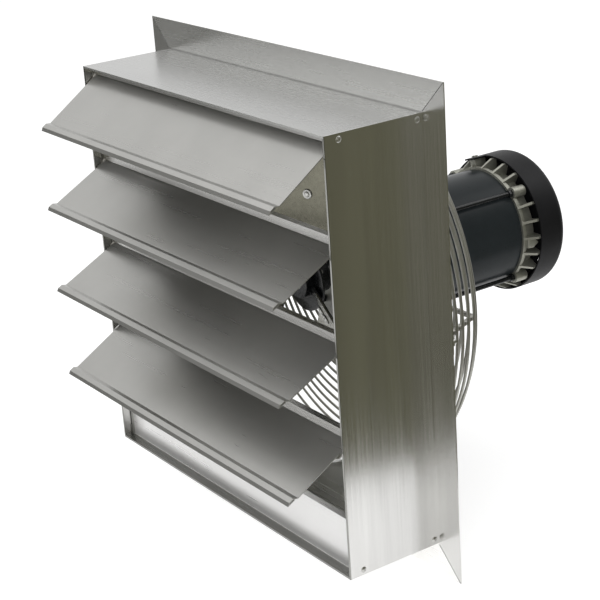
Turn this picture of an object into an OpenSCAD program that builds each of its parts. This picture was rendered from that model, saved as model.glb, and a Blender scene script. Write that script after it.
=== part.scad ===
// Shutter exhaust fan for a wall opening.
// +Z is up, +X is to the right seen from the louvers, and +Y runs from the louvers to the motor.
// The origin lies on the fan axis, in the front face of the wall flange.

/* [Housing] */
// Outside width and height of the square housing
box_w = 483; // [470:1:500]
// Depth of the housing in front of the wall flange
box_depth = 120; // [112:1:130]
// Width of the wall flange around the housing
flange_w = 36; // [34:1:45]
// Thickness of the housing sheet
sheet_t = 1.2; // [1:0.1:1.4]
// Depth of the folded front hem
hem_depth = 8; // [6:0.5:9]
// Height of the corner tabs of the top and bottom panels
tab_h = 14; // [13:0.5:18]
// Space between a tab and the folds before and behind it
tab_gap = 1; // [0.6:0.1:2]
// Radius of a rivet shank
rivet_r = 1.6; // [1.4:0.1:2]
// Radius of a rivet head
rivet_head_r = 3.4; // [3:0.1:4]
// Height of a rivet head
rivet_head_h = 1.3; // [1:0.1:1.6]
// Radius of a rivet's upset tail
rivet_tail_r = 2.5; // [2.4:0.1:2.8]
// Length of a rivet's upset tail
rivet_tail = 2.5; // [2:0.1:3]
// Clearance around a rivet shank
rivet_gap = 0.1; // [0.05:0.05:0.2]
// Distance of the corner rivets from the housing edge
rivet_edge = 6.3; // [5.5:0.1:7]
// Distance of the front rivets behind the front edge
rivet_front = 17.5; // [15:0.5:20]
// Distance of the rear rivets in front of the flange
rivet_rear = 5.2; // [5:0.1:6]

/* [Orifice] */
// Distance from the orifice throat to the inside of the housing's sides
throat_edge = 30.8; // [28:0.1:33]
// Length of the throat in front of the flange face
throat_len = 28; // [24:1:34]
// Radius of the rounded inlet
bell_r = 14; // [10:1:16]
// Depth of the orifice panel's rim
rim_depth = 13; // [11:0.5:16]

/* [Shutter frame] */
// Set-back of the shutter rails from the front edge
shutter_setback = 11; // [10:0.5:12]
// Distance between one louver and the next
louver_pitch = 105; // [104.5:0.1:105.5]
// Height of a rail's front strip
rail_h = 9; // [8.6:0.1:9.4]
// Depth of a rail's ledge
rail_ledge = 8; // [6:0.5:9]
// Height of the front strip of the sill
sill_strip_h = 12; // [11:0.5:14]
// Depth of the crease along the sill strip
sill_crease = 0.8; // [0.4:0.1:1]
// Step from the sill strip back to the sill plate
sill_step = 2.6; // [1.6:0.2:2.6]
// Thickness of the rails, jambs and sill
frame_t = 1.2; // [1:0.1:1.3]
// Depth of the side jambs
jamb_depth = 36; // [32:1:40]

/* [Louvers] */
// Thickness of the louver sheet
louver_t = 1; // [0.8:0.1:1.1]
// Length of the flat blade from the hinge to the joggle
louver_flat = 80; // [79.5:0.1:80.5]
// Run of the joggle
joggle_run = 4.5; // [3.5:0.1:5.5]
// Rise of the joggle
joggle_rise = 3.6; // [3.4:0.1:3.8]
// Width of the raised band along the lip
lip_band = 6; // [5.5:0.1:6.5]
// Run of the rounded-over nose
nose_run = 3.6; // [3.2:0.1:4]
// Drop of the nose
nose_drop = 2.4; // [2.2:0.1:2.6]
// Length of the fold under the lip
lip_fold = 10; // [8:0.5:11]
// Drop of the fold under the lip along its length
lip_fold_drop = 0.4; // [0.3:0.05:0.5]
// Radius of the hinge rod
rod_r = 2; // [1.8:0.1:2.1]
// Clearance around the hinge rod in its roll and bushes
rod_gap = 0.05; // [0.03:0.01:0.08]
// Wall of the rolled hinge edge
roll_wall = 1.2; // [1.1:0.05:1.3]
// Depth of the blade's upper side under the top of the rolled edge
roll_tuck = 0.15; // [0.1:0.05:0.3]
// Gap between the rolled edge and the rail above it
roll_gap = 1.5; // [1.2:0.1:2]
// How far the closed louvers lie behind the face of the rails
closed_inset = 0.3; // [0.2:0.05:0.4]
// Gap between a louver's end and a bush
louver_end_gap = 0.2; // [0.15:0.05:0.4]
// Outside radius of a hinge bush
bush_r = 4; // [3.6:0.1:4.5]
// Radius of a bush's collar
bush_collar_r = 5; // [4.8:0.1:5.2]
// Thickness of a bush's collar
bush_collar_t = 0.6; // [0.5:0.05:0.8]
// How far a rod's end stays inside its bush
rod_end_inset = 0.2; // [0.1:0.05:0.4]
// Slope of the top louver below the horizontal as it stands open
louver_slope_1 = 34.5; // [33.5:0.5:35.5]
// Slope of the second louver
louver_slope_2 = 28.5; // [28:0.5:30]
// Slope of the third louver
louver_slope_3 = 27; // [26.5:0.5:28.5]
// Slope of the bottom louver
louver_slope_4 = 30; // [29:0.5:31]

/* [Tie bar] */
// Place of the tie bar across the louvers
tie_x = -150; // [-180:5:180]
// How far the tie bar pivots lie behind the hinge along the blade
crank_back = 9; // [8:0.5:10]
// How far the tie bar pivots lie under the blade
crank_drop = 13; // [12:0.5:14]
// Thickness of the cranks and of the tie bar
crank_t = 1.5; // [1.2:0.1:2]
// Length of a crank's foot along the blade
crank_foot = 18; // [14:1:22]
// Width of a crank's foot
crank_foot_w = 10; // [8:0.5:14]
// Radius of a crank's round end
crank_end_r = 4.6; // [4.4:0.1:5]
// Gap between a crank and what it turns past
crank_gap = 0.5; // [0.4:0.05:0.8]
// Width of the tie bar
tie_w = 8; // [7:0.5:9]
// Radius of a tie bar pin
tie_pin_r = 1.5; // [1.4:0.1:1.7]
// Play of the pins in the cranks of the lower louvers
tie_play = 1.4; // [1.3:0.1:1.5]
// Radius of a pin head
tie_head_r = 3.8; // [3.6:0.1:4.2]
// Thickness of a pin head
tie_head_t = 0.8; // [0.6:0.1:1.2]

/* [Guard] */
// Distance of the guard's arms behind the flange
guard_depth = 71.6; // [68:0.2:76]
// Radius at which the arms bend towards the flange
guard_r = 225.7; // [222:0.1:228]
// Distance outside the housing's sides at which the arms meet the flange
foot_place = 15; // [12.5:0.5:16.5]
// Radius of an arm's rod
arm_r = 3; // [2.5:0.1:3.2]
// Thickening of an arm's rod at its bend
arm_upset = 0.4; // [0.3:0.1:0.6]
// Radius of the guard wire
wire_r = 1.7; // [1.4:0.1:1.9]
// Distance from the mounting plate's edge to the innermost ring of the guard's face
ring_clear = 12.2; // [10:0.1:14]
// Number of rings in the guard's face
face_rings = 11; // [8:1:11]
// Number of rings in the guard's side
side_rings = 5; // [3:1:5]
// Distance along a guard arm from its bend to the first side ring
side_first = 5.3; // [4.8:0.1:6.5]
// Distance from the studs' ends to the last ring of the guard's side
ring_stud_gap = 1.46; // [1:0.02:2]
// Length of an arm's foot
foot_len = 18; // [16:1:19]
// Width of an arm's foot
foot_w = 20; // [18:1:24]
// Thickness of an arm's foot
foot_t = 3; // [2.5:0.5:4]
// How deep an arm's end is let into its foot
foot_sink = 1.2; // [1:0.1:1.5]
// Radius of a guard stud
stud_r = 3; // [2.5:0.5:3]
// Length of a guard stud
stud_len = 12; // [11:1:15]
// Clearance of a stud in an arm's foot
stud_gap = 0.3; // [0.2:0.1:0.5]
// Width across the corners of a stud nut
nut_w = 11; // [10:0.5:12]
// Thickness of a stud nut
nut_t = 5; // [4:0.5:5.5]

/* [Motor] */
// How far the motor mounting plate stands out past the circle of the through bolts
plate_edge = 18.6; // [16:0.1:22]
// Radius of the hole in the motor mounting plate
plate_hole_r = 46; // [42:1:50]
// Thickness of the motor mounting plate
plate_t = 3; // [2.5:0.5:4]
// Outside radius of the motor shell
shell_r = 72; // [70:0.5:73]
// Thickness of the motor shell
shell_t = 2; // [1.6:0.2:3]
// Distance from the mounting plate to the rear rim of the shell
shell_end = 206.4; // [200:0.2:212]
// Thickness of an end bell's outer part
bell_t = 18; // [16:1:20]
// How far the end bells stand out over the shell
bell_lip = 3; // [2:0.5:3]
// How deep an end bell's spigot sits in the shell
bell_spigot = 6; // [4:0.5:8]
// Wall of an end bell
bell_wall = 5; // [4:0.5:6]
// Distance of the through bolts outside the shell
bolt_out = 4.4; // [4.2:0.1:5]
// Radius of a through bolt
bolt_r = 2.8; // [2.5:0.1:3]
// Clearance of the through bolts in their lugs
bolt_gap = 0.3; // [0.2:0.1:0.5]
// Radius of a bolt lug
lug_r = 7; // [6.5:0.5:8]
// How far a front lug stands back from both faces of its bell
lug_back = 1; // [0.5:0.1:2]
// Width across the corners of a through bolt's nut
bolt_nut_w = 9.2; // [8.8:0.1:9.4]
// Thickness of a through bolt's nut
bolt_nut_t = 5; // [4:0.5:6]
// How far the cooling fins stand out past the rear end bell's rim
fin_rise = 8.6; // [7:0.1:9]
// Length of a cooling fin
fin_len = 24; // [20:1:28]
// Thickness of a cooling fin
fin_t = 3; // [2:0.5:4]
// Number of fin places around the rear end bell
fin_count = 24; // [20:4:28]
// Radius of the shaft in its bearings
shaft_r = 8.5; // [8:0.1:9]
// Radius of the shaft's ends
shaft_end_r = 7.9; // [7.5:0.1:8]
// Radius of the shaft inside the rotor
shaft_core_r = 11; // [10:0.5:12]
// Outside radius of a bearing
bearing_r = 20; // [18:0.5:22]
// Width of a bearing
bearing_w = 12; // [10:1:14]
// Running clearance of the shaft in its bearings
bearing_gap = 0.04; // [0.02:0.01:0.08]
// Radial depth of the stator's core
stator_wall = 30; // [26:0.5:32]
// Length of the stator and rotor
core_len = 90; // [70:5:100]
// Air gap between rotor and stator
air_gap = 0.4; // [0.3:0.1:0.8]
// Length of the windings past the stator
winding_len = 20; // [16:1:24]
// Distance from the windings to the shell
winding_gap = 9; // [8:0.5:12]
// Radius of the lead grommet's collar
grommet_r = 9; // [8:0.5:10]
// Radius of the hole for the leads
lead_r = 5; // [4:0.5:6]
// Height of the grommet's collar
grommet_h = 4; // [3:0.5:6]
// Distance of the grommet from the mounting plate
grommet_place = 52; // [46:1:60]

/* [Motor cooling] */
// Clearance between the fan cover and the cooling fins
cover_gap = 0.4; // [0.2:0.1:1]
// Thickness of the fan cover
cover_t = 2; // [1.6:0.2:2.6]
// Distance from the shell's rear rim to the cover's open rim
cover_place = 19.6; // [18:0.2:22]
// Length of the fan cover
cover_len = 40; // [38:1:46]
// Radius of the rounded rear edge of the cover
cover_round = 8; // [6:1:10]
// Width of the slots in the back of the cover
slot_w = 5; // [4:0.5:6]
// Radius of the innermost slot
slot_first_r = 24; // [22:1:26]
// Distance between two rows of slots
slot_pitch = 12; // [11:0.5:13]
// Number of rows of slots
slot_rows = 4; // [2:1:4]
// Width of the bars between the slots
slot_bar = 7; // [5:0.5:9]
// Length of a cover tab
cover_tab_len = 20; // [16:1:24]
// Width of a cover tab
cover_tab_w = 16; // [12:1:18]
// Radius of a cover screw
screw_r = 2; // [1.6:0.1:2.4]
// Radius of a cover screw's head
screw_head_r = 4; // [3.5:0.1:4.5]
// Height of a cover screw's head
screw_head_h = 2; // [1.6:0.1:2.4]
// Length of a cover screw under its head
screw_len = 8; // [6:0.5:10]
// Side of the square boss under a cover tab
boss_w = 10; // [8:0.5:12]
// Clearance between the cooling fan and the fan cover
cool_edge = 8; // [5:1:12]
// Radius of the cooling fan's hub
cool_hub_r = 16; // [14:1:20]
// Axial width of the cooling fan's vanes
cool_w = 14; // [12:1:16]
// Thickness of the cooling fan's disc and vanes
cool_t = 2.4; // [2:0.2:3]
// Number of vanes on the cooling fan
cool_vanes = 9; // [5:1:12]
// Gap between the cooling fan and its neighbours
cool_gap = 3; // [2:0.5:4]

/* [Propeller] */
// Gap between the blade tips and the throat
tip_gap = 6.5; // [5.5:0.5:9]
// Number of blades
blade_count = 3; // [3:1:3]
// Direction of the first blade, clockwise from the top
blade_turn = 10; // [0:5:45]
// Pitch of the blades
blade_pitch = 24; // [22:1:26]
// Place of the spider along the axis, behind the flange face
prop_y = 12; // [10:1:14]
// Thickness of a blade
blade_t = 2; // [1.6:0.2:2.4]
// Radius of a blade's camber
blade_camber = 260; // [230:10:300]
// Radius at which a blade starts
blade_root_r = 38; // [38:0.5:40]
// Width of a blade at its root
blade_root_w = 84; // [76:1:90]
// Width of a blade at its widest
blade_max_w = 150; // [140:1:156]
// Radius of the rounded blade tip corners
blade_corner = 26; // [20:1:30]
// Radius of the propeller hub
hub_r = 19; // [17:0.5:22]
// Length of the hub in front of the spider
hub_front = 12; // [8:1:16]
// Length of the hub behind the spider
hub_back = 24; // [18:1:28]
// Radius of the spider's disc
spider_r = 37; // [34:0.5:37.5]
// Thickness of the spider
spider_t = 3; // [2.5:0.5:3.5]
// Width of a spider arm
spider_w = 30; // [26:1:34]
// Length of the spider arms from the axis
spider_len = 128; // [120:1:132]
// Radius of the innermost blade rivet's place
blade_rivet_first = 44; // [43.6:0.2:45]
// Distance from a blade's innermost rivet to the next
blade_rivet_pitch = 12; // [11.5:0.5:14]
// Distance from a blade's innermost rivet to the outermost
blade_rivet_reach = 67; // [60:1:68]
// Radius of a blade rivet
blade_rivet_r = 2.4; // [2:0.1:2.8]
// Radius of a blade rivet's head
blade_head_r = 5; // [4.5:0.1:5.5]
// Height of a blade rivet's head
blade_head_h = 2; // [1.6:0.1:2.4]
// Radius of the hub's set screw
set_r = 3; // [2.5:0.5:4]

/* [Hidden] */

// Colours
raw_metal = [0.72, 0.72, 0.70];
dull_metal = [0.62, 0.62, 0.60];
steel = [0.55, 0.56, 0.57];
zinc = [0.78, 0.79, 0.80];
nylon = [0.90, 0.89, 0.84];
dark_paint = [0.10, 0.12, 0.15];
black_plastic = [0.05, 0.05, 0.055];
copper = [0.72, 0.40, 0.20];
cast_alloy = [0.66, 0.66, 0.60];

// Fineness of round surfaces
fine = 96;
mid = 48;
small = 24;
// Sides of a hexagon
hex = 6;
// Overrun of every cut
over = 1;
// Number of louvers
louver_n = 4;
// The louvers' slopes in one list
louver_slopes = [louver_slope_1, louver_slope_2, louver_slope_3, louver_slope_4];
// Slope of a closed louver
closed_slope = 89.5;
// Most that the top louver opens past the photographed place
open_more = 15;

// Housing planes
half_w = box_w / 2;
inside_w = half_w - sheet_t;
front_y = -box_depth;
tab_front_y = front_y + hem_depth + tab_gap;
tab_back_y = -rim_depth - tab_gap;
rivet_ys = [front_y + rivet_front, -rivet_rear];
rivet_z = half_w - rivet_edge;

// Orifice and propeller radii
throat_r = inside_w - throat_edge;
prop_r = throat_r - tip_gap;

// Shutter planes
rail_y = front_y + shutter_setback;
jamb_out = inside_w - sheet_t;
jamb_in = jamb_out - frame_t;
top_z = inside_w;
roll_r = rod_r + rod_gap + roll_wall;
rod_y = rail_y + roll_r + closed_inset;
louver_half = jamb_in - bush_collar_t - louver_end_gap;
blade_top = roll_r - roll_tuck;
blade_n = blade_top - louver_t;
bush_out = jamb_out;

function rail_top(k) = top_z - louver_pitch * (k - 1);
function rod_z(k) = rail_top(k) - rail_h - roll_gap - roll_r;

// Tie bar: each crank's angle is shared out so that its pin keeps to the middle of the play
close_turn_1 = closed_slope - louver_slope_1;
function ratio(k) = (closed_slope - louver_slopes[k - 1]) / close_turn_1;
function crank_lead(k) = (ratio(k) - 1) * (close_turn_1 - open_more) / 2;
// A point of the louver section: s along the blade from the hinge, n square to it on its upper side
function world(s, n, slope) = [-s * cos(slope) - n * sin(slope), -s * sin(slope) + n * cos(slope)];
crank_r = sqrt(crank_back * crank_back + crank_drop * crank_drop);
pivot_1 = world(-crank_back, -crank_drop, louver_slope_1);
tie_y = rod_y + pivot_1[0];
function tie_z(k) = rod_z(k) + pivot_1[1];

// Guard and motor planes
flange_back = sheet_t;
arm_y = guard_depth;
plate_y = arm_y + arm_r;
seat_y = plate_y + plate_t;
shell_y0 = seat_y + bell_t;
shell_y1 = seat_y + shell_end;
bell_r_out = shell_r + bell_lip;
bolt_circle_r = shell_r + bolt_out;
plate_r = bolt_circle_r + plate_edge;
fin_r = bell_r_out + fin_rise;
cover_r = fin_r + cover_gap + cover_t;
cool_r = cover_r - cover_t - cool_edge;
winding_r = shell_r - shell_t - winding_gap;
stator_r = shell_r - shell_t - stator_wall;
guard_foot_r = half_w + foot_place;
ring_pitch = (guard_r - plate_r - ring_clear) / (face_rings - 1);
core_y0 = shell_y0 + (shell_y1 - shell_y0 - core_len) / 2;
cover_y0 = shell_y1 + cover_place;
cover_y1 = cover_y0 + cover_len;
boss_r = bearing_r + bell_wall;
front_bearing_y = seat_y + bell_wall;
rear_bearing_y = shell_y1 - bell_spigot;
fin_in = shell_r - shell_t - bell_wall;
fin_y1 = shell_y1 + fin_len;
tab_mid_y = cover_y0 - cover_tab_len / 2;
fan_y = fin_y1 + cool_gap;
shaft_front = prop_y - hub_front;
shaft_back = fan_y + cool_w;

// The line of the guard's side, from the bend to the foot, as radius and depth
side_from = [guard_r, arm_y];
side_to = [guard_foot_r, flange_back + foot_t - foot_sink];

// Joints two points of a path, radius and depth, with a unit direction
function direction(a, b) = (b - a) / norm(b - a);
function left_of(d) = [-d[1], d[0]];
// Offset of one corner of a bent sheet, mitred between its two sides
function mitre(a, b) = (a + b) / (1 + a * b);
function normals(p) = [for (i = [0 : len(p) - 2]) left_of(direction(p[i], p[i + 1]))];
function corner_offset(n, i, last) = i == 0 ? n[0] : i == last ? n[last - 1] : mitre(n[i - 1], n[i]);
// Outline of a sheet of thickness t bent along the points p, lying to their left
function bent_sheet(p, t) = let (n = normals(p), last = len(p) - 1)
    concat(p, [for (i = [last : -1 : 0]) p[i] + t * corner_offset(n, i, last)]);

// Turns a shape made about Z so that Z points along +Y
module along_y() {
    rotate([-90, 0, 0]) children();
}

// A body turned about the fan axis from a section in radius and depth
module lathe(detail = fine) {
    along_y() rotate_extrude($fn = detail) children();
}

// A round bar along the fan axis
module bar_y(r, y0, y1, detail = fine) {
    translate([0, y0, 0]) along_y() cylinder(h = y1 - y0, r = r, $fn = detail);
}

// A round bar along X
module bar_x(r, x0, x1, detail = small) {
    translate([x0, 0, 0]) rotate([0, 90, 0]) cylinder(h = x1 - x0, r = r, $fn = detail);
}

// A section in Y and Z, drawn as 2D, stretched along X
module beam_x(x0, x1) {
    translate([x0, 0, 0]) rotate([90, 0, 90]) linear_extrude(x1 - x0) children();
}

// A sheet in the XZ plane, drawn as 2D, from depth y0 to y1
module sheet_xz(y0, y1) {
    translate([0, y1, 0]) rotate([90, 0, 0]) linear_extrude(y1 - y0) children();
}

// A box from its two corners
module block(a, b) {
    translate(a) cube(b - a);
}

// Mirrored copy of the left for the right
module flip_x(on) {
    mirror([on ? 1 : 0, 0, 0]) children();
}

// The flange side of one panel, drawn above the housing
module flange_side(reach) {
    polygon([[-reach, inside_w], [-reach, half_w], [-half_w, half_w],
        [-half_w - flange_w, half_w + flange_w], [half_w + flange_w, half_w + flange_w],
        [half_w, half_w], [reach, half_w], [reach, inside_w]]);
}

module tab_holes() {
    for (y = rivet_ys)
        translate([0, y, rivet_z]) bar_x(rivet_r + rivet_gap, -half_w - over, half_w + over);
}

// Top panel; the bottom one is its mirror image
module end_panel() {
    difference() {
        union() {
            block([-inside_w, front_y, inside_w], [inside_w, sheet_t, half_w]);
            block([-inside_w, front_y, inside_w - sheet_t], [inside_w, front_y + hem_depth, inside_w]);
            sheet_xz(0, sheet_t) flange_side(inside_w);
            for (side = [0, 1]) mirror([side, 0, 0])
                block([jamb_out, tab_front_y, inside_w - tab_h], [inside_w, tab_back_y, inside_w]);
        }
        tab_holes();
    }
}

module housing_top() {
    color(raw_metal) end_panel();
}

module housing_bottom() {
    color(raw_metal) mirror([0, 0, 1]) end_panel();
}

// Side panel on the right; the left one is its mirror image
module side_panel() {
    difference() {
        union() {
            block([inside_w, front_y, -half_w], [half_w, sheet_t, half_w]);
            block([jamb_out, front_y, -inside_w + sheet_t],
                [inside_w, front_y + hem_depth, inside_w - sheet_t]);
            sheet_xz(0, sheet_t) rotate(-90) flange_side(half_w);
        }
        tab_holes();
        mirror([0, 0, 1]) tab_holes();
    }
}

module housing_right() {
    color(raw_metal) side_panel();
}

module housing_left() {
    color(raw_metal) mirror([1, 0, 0]) side_panel();
}

// A rounded head standing on the plane z = 0
module dome(r, h) {
    ball = (r * r + h * h) / (2 * h);
    rotate_extrude($fn = mid) intersection() {
        translate([0, h - ball]) circle(r = ball, $fn = fine);
        square([r, h]);
    }
}

// A blind rivet through sheets behind the plane x = 0, its head on the +X side
module rivet(grip) {
    bar_x(rivet_r, -grip - rivet_tail, rivet_head_h / 2);
    rotate([0, 90, 0]) dome(rivet_head_r, rivet_head_h);
    bar_x(rivet_tail_r, -grip - rivet_tail, -grip);
}

module housing_rivets() {
    color(zinc) for (side = [0, 1], up = [-1, 1]) mirror([side, 0, 0]) {
        translate([half_w, rivet_ys[0], up * rivet_z]) rivet(2 * sheet_t + frame_t);
        translate([half_w, rivet_ys[1], up * rivet_z]) rivet(2 * sheet_t);
    }
}

// Square panel with a rounded, throated orifice
module orifice_panel() {
    color(raw_metal) {
        difference() {
            block([-inside_w, -sheet_t, -inside_w], [inside_w, 0, inside_w]);
            bar_y(throat_r + bell_r, -sheet_t - over, over);
        }
        difference() {
            union() {
                for (side = [0, 1]) {
                    mirror([side, 0, 0])
                        block([jamb_out, -rim_depth, -inside_w], [inside_w, -sheet_t, inside_w]);
                    mirror([0, 0, side])
                        block([-jamb_out, -rim_depth, jamb_out], [jamb_out, -sheet_t, inside_w]);
                }
            }
            for (up = [0, 1]) mirror([0, 0, up]) tab_holes();
        }
        lathe() {
            intersection() {
                translate([throat_r + bell_r, -bell_r]) difference() {
                    circle(r = bell_r, $fn = fine);
                    circle(r = bell_r - sheet_t, $fn = fine);
                }
                translate([throat_r, -bell_r]) square([bell_r, bell_r]);
            }
            translate([throat_r, -throat_len]) square([sheet_t, throat_len - bell_r]);
        }
    }
}

// Side plate of the shutter frame with its hinge holes
module jamb() {
    difference() {
        union() {
            block([jamb_in, rail_y, -inside_w], [jamb_out, rail_y + jamb_depth, inside_w]);
            block([jamb_out, rail_y + jamb_depth - frame_t, -inside_w + tab_h + tab_gap],
                [inside_w, rail_y + jamb_depth, inside_w - tab_h - tab_gap]);
        }
        for (k = [1 : louver_n])
            translate([0, rod_y, rod_z(k)]) bar_x(bush_r, jamb_in - over, jamb_out + over);
        tab_holes();
        mirror([0, 0, 1]) tab_holes();
    }
}

module jamb_right() {
    color(dull_metal) jamb();
}

module jamb_left() {
    color(dull_metal) mirror([1, 0, 0]) jamb();
}

// Cross rail above a louver: a front strip with a ledge behind its top edge
module rail(k) {
    color(raw_metal) translate([0, 0, rail_top(k)]) beam_x(-jamb_in, jamb_in)
        polygon(bent_sheet([[rail_y, -rail_h], [rail_y, 0], [rail_y + rail_ledge, 0]], -frame_t));
}

// Fixed sill under the lowest louver
module sill_panel() {
    sill_top = rail_top(louver_n + 1);
    color(raw_metal) beam_x(-jamb_in, jamb_in) polygon(bent_sheet([
        [rail_y + sill_step + rail_ledge, -inside_w], [rail_y + sill_step, -inside_w],
        [rail_y + sill_step, sill_top - sill_strip_h], [rail_y, sill_top - sill_strip_h],
        [rail_y + sill_crease, sill_top - sill_strip_h / 2],
        [rail_y, sill_top], [rail_y + rail_ledge, sill_top]], -frame_t));
}

// Section of a louver's sheet about its hinge, with s to the right and n up
module louver_section() {
    nose = louver_flat + joggle_run + lip_band;
    lip_n = blade_top + joggle_rise;
    polygon(bent_sheet([[0, blade_top], [louver_flat, blade_top], [louver_flat + joggle_run, lip_n],
        [nose, lip_n], [nose + nose_run, lip_n - nose_drop],
        [nose + nose_run - lip_fold, lip_n - nose_drop - lip_fold_drop]], -louver_t));
}

module louver(k) {
    color(raw_metal) translate([0, rod_y, rod_z(k)]) difference() {
        union() {
            bar_x(roll_r, -louver_half, louver_half, mid);
            beam_x(-louver_half, louver_half) mirror([1, 0]) rotate(-louver_slopes[k - 1]) louver_section();
        }
        bar_x(rod_r + rod_gap, -louver_half - over, louver_half + over, mid);
    }
}

module hinge_rod(k) {
    color(steel) translate([0, rod_y, rod_z(k)])
        bar_x(rod_r, -bush_out + rod_end_inset, bush_out - rod_end_inset);
}

module hinge_bushes() {
    color(nylon) for (k = [1 : louver_n], side = [0, 1])
        translate([0, rod_y, rod_z(k)]) mirror([side, 0, 0]) difference() {
            union() {
                bar_x(bush_r, jamb_in, bush_out);
                bar_x(bush_collar_r, jamb_in - bush_collar_t, jamb_in);
            }
            bar_x(rod_r + rod_gap, jamb_in - bush_collar_t - over, bush_out + over);
        }
}

// Crank behind a louver: a foot under the blade and a plate with the tie bar's hole
module crank(k) {
    hole_r = tie_pin_r + (k == 1 ? rod_gap : tie_play);
    turn = atan2(crank_drop, crank_back) + louver_slopes[k - 1] - louver_slope_1 + crank_lead(k);
    end = crank_r * [-cos(turn), -sin(turn)];
    foot_from = roll_r + crank_gap;
    color(steel) translate([tie_x, rod_y, rod_z(k)]) {
        beam_x(-crank_t / 2, crank_t / 2) mirror([1, 0]) rotate(-louver_slopes[k - 1]) difference() {
            union() {
                polygon([[foot_from, blade_n], [foot_from + crank_foot, blade_n],
                    [end[0] + crank_end_r, end[1] - crank_end_r / 2],
                    [end[0], end[1] - crank_end_r / 2], [end[0], end[1] + crank_end_r / 2],
                    [-roll_r, -roll_r - crank_gap], [foot_from, -roll_r - crank_gap]]);
                translate(end) circle(r = crank_end_r, $fn = mid);
            }
            translate(end) circle(r = hole_r, $fn = mid);
            circle(r = roll_r + crank_gap, $fn = mid);
        }
        beam_x(crank_t / 2, crank_t / 2 + crank_foot_w) mirror([1, 0]) rotate(-louver_slopes[k - 1])
            translate([foot_from, blade_n - crank_t]) square([crank_foot, crank_t]);
    }
}

tie_bar_x = tie_x - crank_t / 2 - crank_gap - crank_t;

module tie_bar() {
    color(steel) difference() {
        union() {
            block([tie_bar_x, tie_y - tie_w / 2, tie_z(louver_n)],
                [tie_bar_x + crank_t, tie_y + tie_w / 2, tie_z(1)]);
            for (k = [1, louver_n])
                translate([tie_bar_x, tie_y, tie_z(k)]) bar_x(tie_w / 2, 0, crank_t, mid);
        }
        for (k = [1 : louver_n])
            translate([tie_bar_x, tie_y, tie_z(k)]) bar_x(tie_pin_r, -over, crank_t + over);
    }
}

module tie_pins() {
    crank_side = tie_x + crank_t / 2 + crank_gap;
    color(zinc) for (k = [1 : louver_n]) translate([0, tie_y, tie_z(k)]) {
        bar_x(tie_pin_r, tie_bar_x - tie_head_t, crank_side);
        bar_x(tie_head_r, crank_side, crank_side + tie_head_t);
        bar_x(tie_pin_r + tie_head_t, tie_bar_x - tie_head_t, tie_bar_x);
    }
}

// One arm of the guard, drawn towards +X: a bent rod with a flat foot
module guard_arm(k) {
    side_dir = direction(side_from, side_to);
    turn = acos(side_dir[0]);
    side_len = norm(side_to - side_from);
    foot_y = flange_back + foot_t;
    color(zinc) rotate([0, -90 * (k - 1), 0]) {
        translate([0, arm_y, 0]) bar_x(arm_r, plate_hole_r + 2 * plate_t, guard_r, mid);
        translate([guard_r, arm_y, 0]) sphere(r = arm_r + arm_upset, $fn = mid);
        translate([guard_r, arm_y, 0]) rotate([0, 0, -turn]) bar_x(arm_r, 0, side_len, mid);
        difference() {
            block([guard_foot_r - 2 * arm_r, flange_back, -foot_w / 2],
                [guard_foot_r + foot_len, foot_y, foot_w / 2]);
            translate([guard_foot_r + foot_len / 2, 0, 0])
                bar_y(stud_r + stud_gap, flange_back - over, foot_y + over, mid);
        }
    }
}

module wire_ring(r, y) {
    lathe() translate([r, y]) circle(r = wire_r, $fn = small);
}

// Rings of the guard's face, the first at the arms' bend
module guard_face() {
    color(zinc) for (k = [1 : face_rings]) wire_ring(guard_r - ring_pitch * (k - 1), arm_y + arm_r + wire_r);
}

// Rings of the guard's side, the last one clear of the studs
module guard_side() {
    on_leg = (arm_r + wire_r) * left_of(direction(side_from, side_to));
    from = side_from + on_leg;
    to = side_to + on_leg;
    last_y = flange_back + stud_len + wire_r + ring_stud_gap;
    reach = norm(to - from) * (from[1] - last_y) / (from[1] - to[1]);
    pitch = (reach - side_first) / (side_rings - 1);
    color(zinc) for (k = [1 : side_rings]) {
        at = from + direction(side_from, side_to) * (side_first + pitch * (k - 1));
        wire_ring(at[0], at[1]);
    }
}

module at_feet() {
    for (k = [0 : 3]) rotate([0, 90 * k, 0]) translate([guard_foot_r + foot_len / 2, 0, 0]) children();
}

module guard_studs() {
    color(zinc) at_feet() bar_y(stud_r, flange_back, flange_back + stud_len, mid);
}

module nut(w, t, r) {
    along_y() difference() {
        rotate(180 / hex) cylinder(h = t, r = w / 2, $fn = hex);
        translate([0, 0, -over]) cylinder(h = t + 2 * over, r = r, $fn = mid);
    }
}

module guard_nuts() {
    color(zinc) at_feet() translate([0, flange_back + foot_t, 0]) nut(nut_w, nut_t, stud_r);
}

// Places of the four through bolts, between the guard's arms
module at_bolts() {
    for (k = [0 : 3]) rotate([0, 45 + 90 * k, 0]) translate([bolt_circle_r, 0, 0]) children();
}

module motor_plate() {
    color(steel) difference() {
        bar_y(plate_r, plate_y, seat_y);
        bar_y(plate_hole_r, plate_y - over, seat_y + over);
        at_bolts() bar_y(bolt_r + bolt_gap, plate_y - over, seat_y + over, mid);
    }
}

module motor_shell() {
    color(dark_paint) difference() {
        bar_y(shell_r, shell_y0, shell_y1);
        bar_y(shell_r - shell_t, shell_y0 - over, shell_y1 + over);
        translate([0, seat_y + grommet_place, 0]) bar_x(lead_r + shell_t, -shell_r - over, 0, mid);
    }
}

// Lugs of an end bell between two depths
module bell_lugs(y0, y1) {
    at_bolts() bar_y(lug_r, y0, y1, mid);
}

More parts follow.
